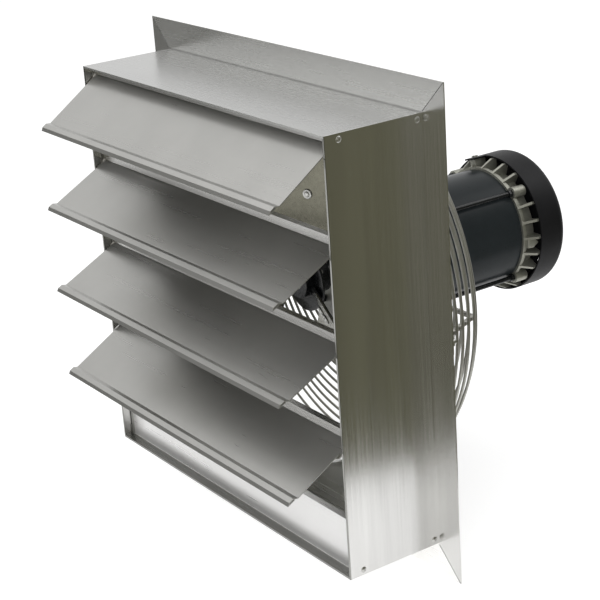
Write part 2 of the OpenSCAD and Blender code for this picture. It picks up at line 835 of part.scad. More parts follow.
module front_end_bell() {
    color(dark_paint) difference() {
        union() {
            lathe() {
                translate([bearing_r, seat_y]) square([bell_r_out - bearing_r, bell_wall]);
                translate([bell_r_out - bell_wall, seat_y]) square([bell_wall, bell_t]);
                translate([shell_r - shell_t - bell_wall, seat_y])
                    square([bell_wall, bell_t + bell_spigot]);
                translate([bearing_r, seat_y]) square([bell_wall, bell_wall + bearing_w]);
                translate([shaft_r + bell_wall / 2, seat_y]) square([bearing_r, bell_wall]);
            }
            difference() {
                bell_lugs(seat_y + lug_back, seat_y + bell_t - lug_back);
                bar_y(bell_r_out - bell_wall / 2, seat_y - over, seat_y + bell_t + over);
            }
        }
        at_bolts() bar_y(bolt_r + bolt_gap, seat_y - over, seat_y + bell_t + over, mid);
    }
}

// Rear end bell: a rim over the shell, a domed back and a ring of cooling fins
module rear_end_bell() {
    base_y = shell_y1 + bell_wall;
    color(cast_alloy) difference() {
        union() {
            lathe() {
                translate([shell_r - shell_t - bell_wall, shell_y1 - bell_spigot])
                    square([bell_wall, bell_spigot + bell_wall]);
                translate([shell_r - shell_t - bell_wall, shell_y1])
                    square([bell_lip + shell_t + bell_wall, bell_wall]);
                translate([fin_in, base_y - over])
                    square([bell_lip + shell_t, fin_len - bell_wall - bell_lip + over]);
                translate([bearing_r, base_y]) square([shell_r - shell_t - bearing_r, bell_wall]);
                translate([bearing_r, rear_bearing_y])
                    square([bell_wall, base_y - rear_bearing_y + bell_wall]);
                translate([shaft_r + bell_wall / 2, base_y + over]) square([bearing_r, bell_wall - over]);
            }
            for (k = [0 : fin_count - 1]) if (abs((k * 360 / fin_count) % 90 - 45) > 360 / fin_count / 2)
                rotate([0, k * 360 / fin_count, 0]) translate([0, 0, -fin_t / 2]) linear_extrude(fin_t)
                    polygon([[fin_in, shell_y1], [bell_r_out, shell_y1],
                        [fin_r, cover_y0 - cool_gap], [fin_r, fin_y1], [fin_in, fin_y1]]);
            at_cover_tabs() translate([0, tab_mid_y, 0])
                block([fin_in, -boss_w / 2, -boss_w / 2], [fin_r, boss_w / 2, boss_w / 2]);
            difference() {
                bell_lugs(shell_y1, shell_y1 + bell_t);
                bar_y(shell_r - shell_t - bell_wall, shell_y1 - over, shell_y1 + bell_t + over);
            }
        }
        at_bolts() bar_y(bolt_r + bolt_gap, shell_y1 - over, fin_y1 + over, mid);
        at_cover_tabs() translate([0, tab_mid_y, 0])
            bar_x(screw_r + bolt_gap, cover_r - screw_len - bolt_gap, cover_r, mid);
    }
}

module through_bolts() {
    color(dark_paint) at_bolts()
        bar_y(bolt_r, plate_y - bolt_nut_t - over, shell_y1 + bell_t, mid);
}

module bolt_nuts() {
    color(dark_paint) at_bolts() for (y = [plate_y - bolt_nut_t, shell_y1 - bolt_nut_t])
        translate([0, y, 0]) nut(bolt_nut_w, bolt_nut_t, bolt_r);
}

// Angles of the cover tabs and screws
cover_turns = [-105, 105, 180];

module at_cover_tabs() {
    for (a = cover_turns) rotate([0, a, 0]) children();
}

// Cover over the cooling fan, with tabs that reach forward to the end bell's fins
module fan_cover() {
    inner_r = cover_r - cover_t;
    color(black_plastic) difference() {
        union() {
            lathe() difference() {
                union() {
                    translate([0, cover_y0]) square([cover_r, cover_len - cover_round]);
                    translate([0, cover_y0]) square([cover_r - cover_round, cover_len]);
                    translate([cover_r - cover_round, cover_y1 - cover_round])
                        circle(r = cover_round, $fn = fine);
                }
                translate([-over, cover_y0 - over]) square([inner_r + over, cover_len - cover_round + over]);
                translate([-over, cover_y0 - over])
                    square([cover_r - cover_round + over, cover_len - cover_t + over]);
                translate([cover_r - cover_round, cover_y1 - cover_round])
                    circle(r = cover_round - cover_t, $fn = fine);
                translate([-over, cover_y0 - over]) square([over, cover_len + 2 * over]);
            }
            intersection() {
                difference() {
                    bar_y(cover_r, cover_y0 - cover_tab_len, cover_y0 + cover_t);
                    bar_y(inner_r, cover_y0 - cover_tab_len - over, cover_y0 + cover_t + over);
                }
                at_cover_tabs() block([0, cover_y0 - cover_tab_len, -cover_tab_w / 2],
                    [cover_r + over, cover_y0 + cover_t, cover_tab_w / 2]);
            }
        }
        intersection() {
            for (k = [0 : slot_rows - 1]) lathe()
                translate([slot_first_r + slot_pitch * k - slot_w / 2, cover_y1 - cover_t - over])
                    square([slot_w, cover_t + 2 * over]);
            difference() {
                bar_y(cover_r, cover_y1 - cover_t - over, cover_y1 + over);
                for (a = [0, 60, 120]) rotate([0, a, 0])
                    block([-cover_r - over, cover_y1 - cover_t - 2 * over, -slot_bar / 2],
                        [cover_r + over, cover_y1 + 2 * over, slot_bar / 2]);
            }
        }
        at_cover_tabs() translate([0, tab_mid_y, 0])
            bar_x(screw_r + bolt_gap, inner_r - over, cover_r + over, mid);
    }
}

module cover_screws() {
    color(zinc) at_cover_tabs() translate([0, tab_mid_y, 0]) {
        bar_x(screw_r, cover_r - screw_len, cover_r);
        bar_x(screw_head_r, cover_r, cover_r + screw_head_h);
    }
}

module stator_core() {
    color(steel) difference() {
        bar_y(shell_r - shell_t, core_y0, core_y0 + core_len);
        bar_y(stator_r, core_y0 - over, core_y0 + core_len + over);
    }
}

module windings() {
    color(copper) for (y = [core_y0 - winding_len, core_y0 + core_len])
        lathe() translate([stator_r + bell_lip, y])
            square([winding_r - stator_r - bell_lip, winding_len]);
}

module rotor_core() {
    color(steel) difference() {
        bar_y(stator_r - air_gap, core_y0, core_y0 + core_len);
        bar_y(shaft_core_r, core_y0 - over, core_y0 + core_len + over);
    }
}

module motor_shaft() {
    color(zinc) {
        bar_y(shaft_end_r, shaft_front, front_bearing_y, mid);
        bar_y(shaft_r, front_bearing_y, rear_bearing_y + bearing_w, mid);
        bar_y(shaft_core_r, front_bearing_y + bearing_w + over, rear_bearing_y - over, mid);
        bar_y(shaft_end_r, rear_bearing_y + bearing_w, shaft_back, mid);
    }
}

module bearing(y) {
    color(zinc) lathe() translate([shaft_r + bearing_gap, y])
        square([bearing_r - shaft_r - bearing_gap, bearing_w]);
}

module front_bearing() {
    bearing(front_bearing_y);
}

module rear_bearing() {
    bearing(rear_bearing_y);
}

// Radial fan behind the rear end bell
module cooling_fan() {
    color(black_plastic) difference() {
        union() {
            bar_y(cool_r, fan_y, fan_y + cool_t);
            bar_y(cool_hub_r, fan_y, fan_y + cool_w);
            for (k = [0 : cool_vanes - 1]) rotate([0, k * 360 / cool_vanes, 0])
                block([cool_hub_r - over, fan_y, -cool_t / 2], [cool_r - over, fan_y + cool_w, cool_t / 2]);
        }
        bar_y(shaft_end_r, fan_y - over, fan_y + cool_w + over);
    }
}

// Grommet for the leads, on the motor's left side
module lead_grommet() {
    color(black_plastic) translate([0, seat_y + grommet_place, 0]) difference() {
        union() {
            bar_x(lead_r + shell_t, -shell_r - grommet_h, -shell_r + shell_t, mid);
            bar_x(grommet_r, -shell_r - grommet_h, -shell_r - air_gap, mid);
        }
        bar_x(lead_r, -shell_r - grommet_h - over, 0, mid);
    }
}

// Places a blade or arm, drawn along +X with its width along Z, at its direction and pitch
module at_blade(k) {
    rotate([0, blade_turn + 360 / blade_count * (k - 1) - 90, 0])
        translate([0, prop_y, 0]) rotate([blade_pitch, 0, 0]) children();
}

arm_front = -spider_t / 2;

module spider() {
    color(dark_paint) difference() {
        union() {
            bar_y(hub_r, prop_y - hub_front, prop_y + hub_back);
            bar_y(spider_r, prop_y - spider_t / 2, prop_y + spider_t / 2);
            for (k = [1 : blade_count]) at_blade(k) difference() {
                union() {
                    block([spider_r / 2, -spider_t / 2, -spider_w / 2],
                        [spider_len - spider_w / 2, spider_t / 2, spider_w / 2]);
                    translate([spider_len - spider_w / 2, 0, 0])
                        bar_y(spider_w / 2, -spider_t / 2, spider_t / 2, mid);
                }
                at_blade_rivets() bar_y(blade_rivet_r, -spider_t - over, spider_t + over);
            }
        }
        bar_y(shaft_end_r, prop_y - hub_front - over, prop_y + hub_back + over);
        translate([0, prop_y + hub_back / 2, 0]) rotate([0, blade_turn - 45, 0])
            bar_x(set_r, 0, hub_r + over);
    }
}

module at_blade_rivets() {
    for (x = [0, blade_rivet_pitch, blade_rivet_reach])
        translate([blade_rivet_first + x, 0, 0]) children();
}

// Share of a blade's length over which it widens
widening_share = 0.8;
// Half width of a blade at a share of its length
function blade_half(share) = blade_root_w / 2
    + (blade_max_w - blade_root_w) / 2 * sin(90 * min(1, share / widening_share));
blade_shares = [0, 0.1, 0.2, 0.3, 0.4, 0.5, 0.6, 0.7, 0.8];
corner_turns = [0, 15, 30, 45, 60, 75, 90];
tip_shares = [0.2, 0.4, 0.6, 0.8, 1];
// The tip corner's round starts where its arc runs into the tip circle
corner_z = blade_max_w / 2 - blade_corner;
corner_x = sqrt((prop_r - blade_corner) * (prop_r - blade_corner) - corner_z * corner_z);
corner_end = 90 - atan2(corner_z, corner_x);

// Outline of a blade: it widens from the root, and its tip follows a circle about the fan axis
function blade_side() = let (tip = prop_r - blade_root_r)
    concat([for (s = blade_shares) if (blade_root_r + s * tip < corner_x - over)
            [blade_root_r + s * tip, blade_half(s)]],
        [for (a = corner_turns) [corner_x + blade_corner * sin(a * corner_end / 90),
            corner_z + blade_corner * cos(a * corner_end / 90)]],
        [for (s = tip_shares) let (a = corner_end + s * (90 - corner_end)) prop_r * [sin(a), cos(a)]]);

function reversed(p) = [for (i = [len(p) - 1 : -1 : 0]) p[i]];

module blade(k) {
    outline = concat(blade_side(), [for (q = reversed(blade_side())) [q[0], -q[1]]]);
    color(raw_metal) at_blade(k) difference() {
        intersection() {
            translate([0, arm_front - blade_camber, 0]) difference() {
                bar_x(blade_camber, blade_root_r - over, prop_r + over, 4 * fine);
                bar_x(blade_camber - blade_t, blade_root_r - 2 * over, prop_r + 2 * over, 4 * fine);
            }
            sheet_xz(arm_front - blade_max_w / 2, 0) polygon(outline);
        }
        at_blade_rivets() bar_y(blade_rivet_r, arm_front - blade_max_w / 2, 0);
    }
}

// The front heads lie clear of the curved blade
module blade_rivets() {
    inner_r = blade_camber - blade_t;
    head_y = arm_front - blade_camber + sqrt(inner_r * inner_r - blade_head_r * blade_head_r) - rivet_gap;
    color(zinc) for (k = [1 : blade_count]) at_blade(k) at_blade_rivets() {
        bar_y(blade_rivet_r, head_y - blade_head_h / 2, spider_t / 2, mid);
        translate([0, spider_t / 2, 0]) rotate([-90, 0, 0]) dome(blade_head_r, blade_head_h / 2);
        translate([0, head_y, 0]) rotate([90, 0, 0]) dome(blade_head_r, blade_head_h);
    }
}

module set_screw() {
    color(steel) translate([0, prop_y + hub_back / 2, 0]) rotate([0, blade_turn - 45, 0])
        bar_x(set_r, shaft_end_r, hub_r - over / 2);
}

housing_top();
housing_bottom();
housing_left();
housing_right();
housing_rivets();
orifice_panel();
jamb_left();
jamb_right();
rail(1);  // rail_1
rail(2);  // rail_2
rail(3);  // rail_3
rail(4);  // rail_4
sill_panel();
louver(1);  // louver_1
louver(2);  // louver_2
louver(3);  // louver_3
louver(4);  // louver_4
hinge_rod(1);  // hinge_rod_1
hinge_rod(2);  // hinge_rod_2
hinge_rod(3);  // hinge_rod_3
hinge_rod(4);  // hinge_rod_4
hinge_bushes();
crank(1);  // crank_1
crank(2);  // crank_2
crank(3);  // crank_3
crank(4);  // crank_4
tie_bar();
tie_pins();
guard_arm(1);  // guard_arm_1
guard_arm(2);  // guard_arm_2
guard_arm(3);  // guard_arm_3
guard_arm(4);  // guard_arm_4
guard_face();  // face_rings
guard_side();  // side_rings
guard_studs();
guard_nuts();
motor_plate();
motor_shell();
front_end_bell();
rear_end_bell();
through_bolts();
bolt_nuts();
fan_cover();
cover_screws();
stator_core();
windings();
rotor_core();
motor_shaft();
front_bearing();
rear_bearing();
cooling_fan();
lead_grommet();
spider();
blade(1);  // blade_1
blade(2);  // blade_2
blade(3);  // blade_3
blade_rivets();
set_screw();
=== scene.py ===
"""Looks of the shutter exhaust fan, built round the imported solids."""
import math

import bmesh
import bpy
from mathutils import Matrix, Vector


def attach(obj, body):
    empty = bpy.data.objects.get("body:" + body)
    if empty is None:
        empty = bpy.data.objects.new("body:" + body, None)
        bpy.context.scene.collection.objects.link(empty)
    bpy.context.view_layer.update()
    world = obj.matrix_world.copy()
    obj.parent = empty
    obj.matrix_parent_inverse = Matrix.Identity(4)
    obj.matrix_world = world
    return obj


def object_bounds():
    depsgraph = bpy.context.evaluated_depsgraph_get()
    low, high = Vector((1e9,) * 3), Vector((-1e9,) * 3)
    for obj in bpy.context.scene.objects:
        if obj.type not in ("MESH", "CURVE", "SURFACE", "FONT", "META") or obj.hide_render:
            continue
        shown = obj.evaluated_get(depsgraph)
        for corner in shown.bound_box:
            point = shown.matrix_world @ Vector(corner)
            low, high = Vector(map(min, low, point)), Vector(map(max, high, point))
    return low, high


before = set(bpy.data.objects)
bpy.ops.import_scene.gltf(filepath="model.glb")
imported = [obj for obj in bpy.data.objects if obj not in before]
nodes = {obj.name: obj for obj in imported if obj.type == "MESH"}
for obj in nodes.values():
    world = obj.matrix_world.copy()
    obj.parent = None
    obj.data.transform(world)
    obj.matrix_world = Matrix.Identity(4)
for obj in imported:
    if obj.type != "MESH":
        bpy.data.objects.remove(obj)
cad_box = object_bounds()
scene = bpy.context.scene
scene.view_settings.view_transform = "Standard"

# Camera at the photograph's angle
CAMERA_PLACE = (1.4854, -0.9961, 0.6442)
CAMERA_TURN = (1.2134, 0.0654, 0.9545)
camera = bpy.data.objects.new("camera", bpy.data.cameras.new("camera"))
camera.location = CAMERA_PLACE
camera.rotation_euler = CAMERA_TURN
camera.data.sensor_width = 36
camera.data.lens = 98.63
camera.data.clip_start = 0.05
camera.data.clip_end = 100
scene.collection.objects.link(camera)
scene.camera = camera


def link(name, mesh):
    obj = bpy.data.objects.new(name, mesh)
    scene.collection.objects.link(obj)
    return obj


def smooth(obj, angle=32):
    """Rounds the shading of curved faces and keeps the edges sharp."""
    obj.data.shade_smooth()
    obj.data.set_sharp_from_angle(angle=math.radians(angle))


# Materials
class Tree:
    """The node tree of a material or world, with short ways to add and join nodes."""

    def __init__(self, owner, out="ShaderNodeOutputMaterial"):
        self.owner = owner
        owner.use_nodes = True
        self.tree = owner.node_tree
        self.tree.nodes.clear()
        self.out = self.add(out)
        self.coords = None

    def add(self, kind, **settings):
        node = self.tree.nodes.new(kind)
        for key, value in settings.items():
            setattr(node, key, value)
        return node

    def join(self, a, b):
        self.tree.links.new(a, b)

    def place(self, scale):
        """Object coordinates, stretched by scale."""
        if self.coords is None:
            self.coords = self.add("ShaderNodeTexCoord")
        mapping = self.add("ShaderNodeMapping")
        mapping.inputs["Scale"].default_value = scale
        self.join(self.coords.outputs["Object"], mapping.inputs["Vector"])
        return mapping.outputs["Vector"]

    def noise(self, scale, detail, rough=0.55):
        node = self.add("ShaderNodeTexNoise")
        node.inputs["Scale"].default_value = 1.0
        node.inputs["Detail"].default_value = detail
        node.inputs["Roughness"].default_value = rough
        self.join(self.place(scale), node.inputs["Vector"])
        return node.outputs["Fac"]

    def spread(self, value, low, high, start=0.3, end=0.7):
        """Maps start..end, for a noise its usual range, onto low..high."""
        node = self.add("ShaderNodeMapRange")
        node.inputs["From Min"].default_value = start
        node.inputs["From Max"].default_value = end
        node.inputs["To Min"].default_value = low
        node.inputs["To Max"].default_value = high
        self.join(value, node.inputs["Value"])
        return node.outputs["Result"]

    def mix(self, value, a, b):
        """Mixes two colours by value. Each is a tuple or another node's output."""
        node = self.add("ShaderNodeMix", data_type="RGBA")
        for slot, colour in (("A", a), ("B", b)):
            if isinstance(colour, tuple):
                node.inputs[slot].default_value = (*colour, 1)
            else:
                self.join(colour, node.inputs[slot])
        self.join(value, node.inputs["Factor"])
        return node.outputs["Result"]

    def bump(self, value, strength, distance):
        node = self.add("ShaderNodeBump")
        node.inputs["Strength"].default_value = strength
        node.inputs["Distance"].default_value = distance
        self.join(value, node.inputs["Height"])
        return node.outputs["Normal"]

    def larger(self, a, b):
        node = self.add("ShaderNodeMath", operation="MAXIMUM")
        self.join(a, node.inputs[0])
        self.join(b, node.inputs[1])
        return node.outputs[0]

    def seen_directly(self):
        """1 for camera, glossy and transmission rays, 0 for the rest."""
        path = self.add("ShaderNodeLightPath")
        seen = self.larger(path.outputs["Is Camera Ray"], path.outputs["Is Glossy Ray"])
        return self.larger(seen, path.outputs["Is Transmission Ray"])

    def light(self, kind, colour, strength=1.0):
        """An emission or background node."""
        node = self.add(kind)
        node.inputs["Color"].default_value = (*colour, 1)
        node.inputs["Strength"].default_value = strength
        return node


def even(scale):
    """The same noise scale along x, y and z."""
    return scale, scale, scale


def surface(name, colours, metallic, rough, fine, clouds=even(14), bump=0.1, depth=0.0002, specular=0.5,
            painted_shading=()):
    """A finish with two close colours, a fine pattern of roughness and a fine relief.

    rough: lowest and highest roughness. fine and clouds: noise scales along x, y and z of the
    roughness, with its detail, and of the colour. painted_shading: for each face given painted light or
    shade, an axis, where along it that colour begins and is reached, and its colour.
    """
    t = Tree(bpy.data.materials.new(name))
    shader = t.add("ShaderNodeBsdfPrincipled")
    shader.inputs["Metallic"].default_value = metallic
    shader.inputs["Specular IOR Level"].default_value = specular
    cloud_noise = t.noise(clouds, 4.0)
    fine_noise = t.noise(*fine, 0.6)
    t.join(t.spread(fine_noise, *rough), shader.inputs["Roughness"])
    tint = t.mix(t.spread(cloud_noise, 0.0, 1.0, 0.35, 0.65), *colours)
    # Each band lays a painted highlight or painted shade over the sheet's colour
    for axis, start, end, colour in painted_shading:
        split = t.add("ShaderNodeSeparateXYZ")
        t.join(t.place(even(1)), split.inputs[0])
        tint = t.mix(t.spread(split.outputs[axis], 0.0, 1.0, start, end), tint, colour)
    t.join(tint, shader.inputs["Base Color"])
    if bump:
        t.join(t.bump(fine_noise, bump, depth), shader.inputs["Normal"])
    t.join(shader.outputs[0], t.out.inputs["Surface"])
    return t.owner


def near(colour, spread):
    """Two colours a little darker and a little lighter than one."""
    return tuple(c * (1 - spread) for c in colour), tuple(min(1.0, c * (1 + spread)) for c in colour)


def streaks(*scale):
    """Fine pattern of a rolled or brushed sheet, stretched along the axis of the smallest scale."""
    return scale, 4.0


def grain(scale):
    """Fine pattern that is alike in all directions."""
    return even(scale), 3.0


# The housing's top face, its front edge and the back of the sill plate, in CAD coordinates.
# Below them, the bands of painted highlight and painted shade on the housing's sheets
HOUSING_TOP = 0.2415
HOUSING_FRONT = -0.12
SILL_BACK = -0.1075
# Painted shading along the sheets' front edge: darker on the side panels, lighter on the top panel
PAINTED_EDGE_SHADING = ("Y", HOUSING_FRONT + 0.001, HOUSING_FRONT + 0.0004)
# Painted highlight: the top panel's rear flange above the top face is coloured lighter
PAINTED_FLANGE_LIGHT = ("Z", HOUSING_TOP + 0.0005, HOUSING_TOP + 0.002)
# Painted light: the inside of the housing bottom behind the sill plate is coloured near white
PAINTED_LIGHT_BEHIND_SILL = ("Y", SILL_BACK, SILL_BACK + 0.001)

# Each finish: colour, its spread, metallic, roughness range, fine pattern, and the rest of surface()
FINISHES = {
    # Painted light and shade: the housing panels are one sheet metal, coloured lighter or darker panel by
    # panel
    "side_sheet": ((0.68, 0.676, 0.663), 0.07, 1.0, (0.17, 0.26), streaks(420, 420, 4),
                   dict(clouds=(2, 42, 2.2), bump=0.04, depth=0.00003,
                        painted_shading=[(*PAINTED_EDGE_SHADING, (0.3, 0.3, 0.285))])),
    "top_sheet": ((0.46, 0.46, 0.45), 0.02, 1.0, (0.26, 0.28), streaks(5, 180, 180),
                  dict(clouds=even(9), bump=0,
                       painted_shading=[(*PAINTED_FLANGE_LIGHT, (0.8, 0.8, 0.785)), (*PAINTED_EDGE_SHADING, (0.62, 0.62, 0.605))])),
    "base_sheet": ((0.27, 0.268, 0.257), 0.03, 1.0, (0.25, 0.33), streaks(5, 420, 420),
                   dict(clouds=even(9), bump=0.02, depth=0.00003,
                        painted_shading=[(*PAINTED_LIGHT_BEHIND_SILL, (0.95, 0.945, 0.93))])),
    "inner_sheet": ((0.82, 0.82, 0.78), 0.06, 0.35, (0.28, 0.4), streaks(6, 400, 400),
                    dict(clouds=even(12), bump=0.08, depth=0.00005)),
    "sill_sheet": ((0.85, 0.845, 0.835), 0.02, 0.55, (0.27, 0.29), streaks(5, 160, 160),
                   dict(clouds=even(9), bump=0)),
    "frame_sheet": ((0.42, 0.42, 0.4), 0.06, 0.9, (0.3, 0.42), streaks(400, 400, 5),
                    dict(clouds=even(12), bump=0.08, depth=0.00005)),
    "rail_sheet": ((0.55, 0.545, 0.53), 0.04, 1.0, (0.24, 0.32), streaks(5, 480, 480),
                   dict(clouds=even(10), bump=0.05, depth=0.00003)),
    "louver_sheet": ((0.4, 0.397, 0.38), 0.03, 0.8, (0.27, 0.295), streaks(4, 140, 140),
                     dict(clouds=even(16), bump=0)),
    "zinc": ((0.55, 0.55, 0.53), 0.1, 1.0, (0.22, 0.4), grain(420), dict(bump=0.2, depth=0.0001)),
    "plain_steel": ((0.36, 0.36, 0.35), 0.1, 1.0, (0.3, 0.5), grain(300), dict(bump=0.2, depth=0.0001)),
    "ground_steel": ((0.6, 0.6, 0.6), 0.05, 1.0, (0.12, 0.25), streaks(300, 900, 300), dict(depth=0.00003)),
    "wire": ((0.40, 0.395, 0.365), 0.12, 1.0, (0.28, 0.42), grain(260), dict(bump=0.2, depth=0.0001)),
    "nylon": ((0.72, 0.70, 0.64), 0.04, 0.0, (0.4, 0.55), grain(500), dict(bump=0.2, depth=0.00005)),
    "motor_paint": ((0.0205, 0.025, 0.027), 0.12, 0.0, (0.27, 0.34), grain(520),
                    dict(clouds=even(18), bump=0.12, depth=0.0001, specular=0.11)),
    "gloss_black": ((0.008, 0.009, 0.010), 0.15, 0.0, (0.2, 0.3), grain(380),
                    dict(bump=0.12, depth=0.0001, specular=0.35)),
    "cast_metal": ((0.36, 0.36, 0.315), 0.14, 0.8, (0.4, 0.6), grain(640), dict(clouds=even(30), bump=0.4)),
    "cover_black": ((0.008, 0.008, 0.009), 0.2, 0.0, (0.4, 0.52), grain(900),
                    dict(clouds=even(22), bump=0.25, depth=0.0001, specular=0.14)),
    "rubber": ((0.02, 0.02, 0.02), 0.15, 0.0, (0.55, 0.75), grain(700), dict(bump=0.3, depth=0.0001)),
    "copper": ((0.50, 0.24, 0.11), 0.2, 0.9, (0.3, 0.5), streaks(900, 60, 900), dict(bump=0.5, depth=0.0003)),
    # Painted shade: the aluminium blades are coloured dark olive, as they look in the housing's shade
    "blade_sheet": ((0.17, 0.165, 0.13), 0.12, 1.0, (0.2, 0.32), grain(180),
                    dict(clouds=even(16), bump=0.08, depth=0.00006)),
    "seam": ((0.16, 0.16, 0.155), 0.15, 0.9, (0.4, 0.6), grain(400), dict(bump=0.3, depth=0.00008)),
}
finish = {name: surface(name, near(colour, spread), metallic, rough, fine, **rest)
          for name, (colour, spread, metallic, rough, fine, rest) in FINISHES.items()}


def numbered(name, count):
    return [f"{name}_{k}" for k in range(1, count + 1)]


ARMS, FACE_RINGS, SIDE_RINGS, BLADES = 4, 11, 5, 3
NODE_FINISH = {
    "side_sheet": ["housing_left", "housing_right"],
    "top_sheet": ["housing_top"],
    "base_sheet": ["housing_bottom"],
    "inner_sheet": ["orifice_panel"],
    "sill_sheet": ["sill_panel"],
    "frame_sheet": ["jamb_left", "jamb_right"],
    "rail_sheet": numbered("rail", 4),
    "louver_sheet": numbered("louver", 4),
    "zinc": ["housing_rivets", "blade_rivets", "tie_pins", "guard_studs", "guard_nuts", "cover_screws"],
    "plain_steel": numbered("hinge_rod", 4) + numbered("crank", 4)
                   + ["tie_bar", "motor_plate", "stator_core", "rotor_core", "set_screw"],
    "ground_steel": ["motor_shaft", "front_bearing", "rear_bearing"],
    "wire": numbered("guard_arm", ARMS) + ["face_rings", "side_rings"],
    "nylon": ["hinge_bushes"],
    "motor_paint": ["motor_shell", "front_end_bell"],
    "gloss_black": ["spider", "through_bolts", "bolt_nuts"],
    "cast_metal": ["rear_end_bell"],
    "cover_black": ["fan_cover", "cooling_fan"],
    "rubber": ["lead_grommet"],
    "copper": ["windings"],
    "blade_sheet": numbered("blade", BLADES),
}
for look, names in NODE_FINISH.items():
    for name in names:
        node = nodes[name]
        node.data.materials.clear()
        node.data.materials.append(finish[look])
        smooth(node)


# Small pieces that are added to the solids
def piece(name, bm, look, body, angle=40):
    """Makes an object of bm, with the finish look, that rides on body."""
    bmesh.ops.recalc_face_normals(bm, faces=bm.faces)
    mesh = bpy.data.meshes.new(name)
    bm.to_mesh(mesh)
    bm.free()
    obj = link(name, mesh)
    mesh.materials.append(finish[look])
    smooth(obj, angle)
    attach(obj, body)


def bead(bm, place, turn, seed):
    """One squashed, slightly uneven drop of weld metal."""
    made = bmesh.ops.create_icosphere(bm, subdivisions=2, radius=1.0)
    for v in made["verts"]:
        d = v.co.normalized()
        swell = 1 + 0.10 * math.sin(5.1 * d.x + seed * 1.7) + 0.08 * math.sin(4.3 * d.z + seed * 2.9)
        v.co = turn @ Vector((d.x * BEAD[0], d.y * BEAD[1], d.z * BEAD[2])) * swell + place


def strip(bm, start, end, out, width, height):
    """A low, rounded seam from start to end on a face whose normal is out."""
    side = out.cross((end - start).normalized())
    steps = 6
    arc = [math.pi * k / steps for k in range(steps + 1)]
    rings = [[bm.verts.new(at + side * (width / 2 * math.cos(a)) + out * (height * math.sin(a))) for a in arc]
             for at in (start, start.lerp(end, 0.5), end)]
    for a, b in zip(rings, rings[1:]):
        for k in range(steps):
            bm.faces.new((a[k], a[k + 1], b[k + 1], b[k]))
        bm.faces.new((a[-1], a[0], b[0], b[-1]))
    bm.faces.new(rings[0])
    bm.faces.new(rings[-1][::-1])


def turned(bm, profile, place, steps=28):
    """A turned form: profile gives radius and height, place the matrix of its axis along +Z."""
    rings = []
    for r, h in profile:
        if r == 0:
            rings.append([bm.verts.new(place @ Vector((0, 0, h)))])
        else:
            rings.append([bm.verts.new(place @ Vector((r * math.cos(a), r * math.sin(a), h)))
                          for a in [2 * math.pi * k / steps for k in range(steps)]])
    for a, b in zip(rings, rings[1:]):
        for k in range(steps):
            q = (k + 1) % steps
            corners = [a[k % len(a)], a[q % len(a)], b[q % len(b)], b[k % len(b)]]
            bm.faces.new([v for n, v in enumerate(corners) if v not in corners[:n]])


# Weld beads where the guard's rings cross its arms. An arm bends at GUARD_R and ARM_Y and runs to its
# foot; SIDE_FIRST and SIDE_LAST are the places of the first and last side ring along that run.
ARM_Y, ARM_R = 0.0716, 0.003
GUARD_R, RING_PITCH = 0.2257, 0.01185
FOOT_R, FOOT_Y = 0.2565, 0.003
SIDE_FIRST, SIDE_LAST = 0.0053, 0.06266
BEAD = (0.0021, 0.0011, 0.0024)
bm = bmesh.new()
seed = 0
for arm in range(ARMS):
    spin = Matrix.Rotation(math.radians(360 / ARMS * arm), 3, "Y")
    for k in range(FACE_RINGS):
        seed += 1
        bead(bm, spin @ Vector((GUARD_R - RING_PITCH * k, ARM_Y + ARM_R, 0)), spin, seed)
    run = Vector((FOOT_R - GUARD_R, FOOT_Y - ARM_Y, 0))
    out = Vector((-run.y, run.x, 0)).normalized()
    lean = spin @ Matrix((run.normalized(), out, Vector((0, 0, 1)))).transposed()
    for k in range(1, SIDE_RINGS + 1):
        seed += 1
        reach = SIDE_FIRST + (SIDE_LAST - SIDE_FIRST) * (k - 1) / (SIDE_RINGS - 1)
        at = Vector((GUARD_R, ARM_Y, 0)) + run.normalized() * reach + out * ARM_R
        bead(bm, spin @ at, lean, seed)
piece("guard_welds", bm, "wire", "root", 180)

# Mitre seams of the wall flange, on both of its faces
BOX_HALF, FLANGE_HALF, SHEET_T = 0.2415, 0.2775, 0.0012
SEAM_START, SEAM_END = BOX_HALF + 0.0014, FLANGE_HALF - 0.0008
SEAM_W, SEAM_H = 0.0009, 0.00016
bm = bmesh.new()
for sx in (-1, 1):
    for sz in (-1, 1):
        a, b = (Vector((sx * r, 0, sz * r)) for r in (SEAM_START, SEAM_END))
        strip(bm, a, b, Vector((0, -1, 0)), SEAM_W, SEAM_H)
        back = Vector((0, SHEET_T, 0))
        strip(bm, a + back, b + back, Vector((0, 1, 0)), SEAM_W, SEAM_H)
piece("flange_seams", bm, "seam", "root")

# Rivets of the blades, each with a raised rim and the end of its pin, as radius and height
BLADE_TURN, BLADE_PITCH, PROP_Y = 10, 24, 0.012
RIVET_PLACES = (0.044, 0.056, 0.111)
SPIDER_T, CAMBER, BLADE_T, HEAD_R, HEAD_SINK = 0.003, 0.260, 0.002, 0.005, 0.0001
FRONT_HEAD = [(0.0, -0.0012), (0.0024, -0.0012), (0.0024, 0.0), (0.0056, 0.0), (0.0059, 0.0004),
              (0.0058, 0.0010), (0.0052, 0.0014), (0.0045, 0.0013), (0.0039, 0.00115), (0.0032, 0.0014),
              (0.0027, 0.0021), (0.0021, 0.00225), (0.0016, 0.0021), (0.0, 0.0021)]
BACK_HEAD = [(0.0, -0.0002), (0.0050, -0.0002), (0.0050, 0.0002), (0.0042, 0.0007), (0.0030, 0.0010),
             (0.0, 0.0011)]
head_y = -SPIDER_T / 2 - CAMBER + math.sqrt((CAMBER - BLADE_T) ** 2 - HEAD_R ** 2) - HEAD_SINK
bm = bmesh.new()
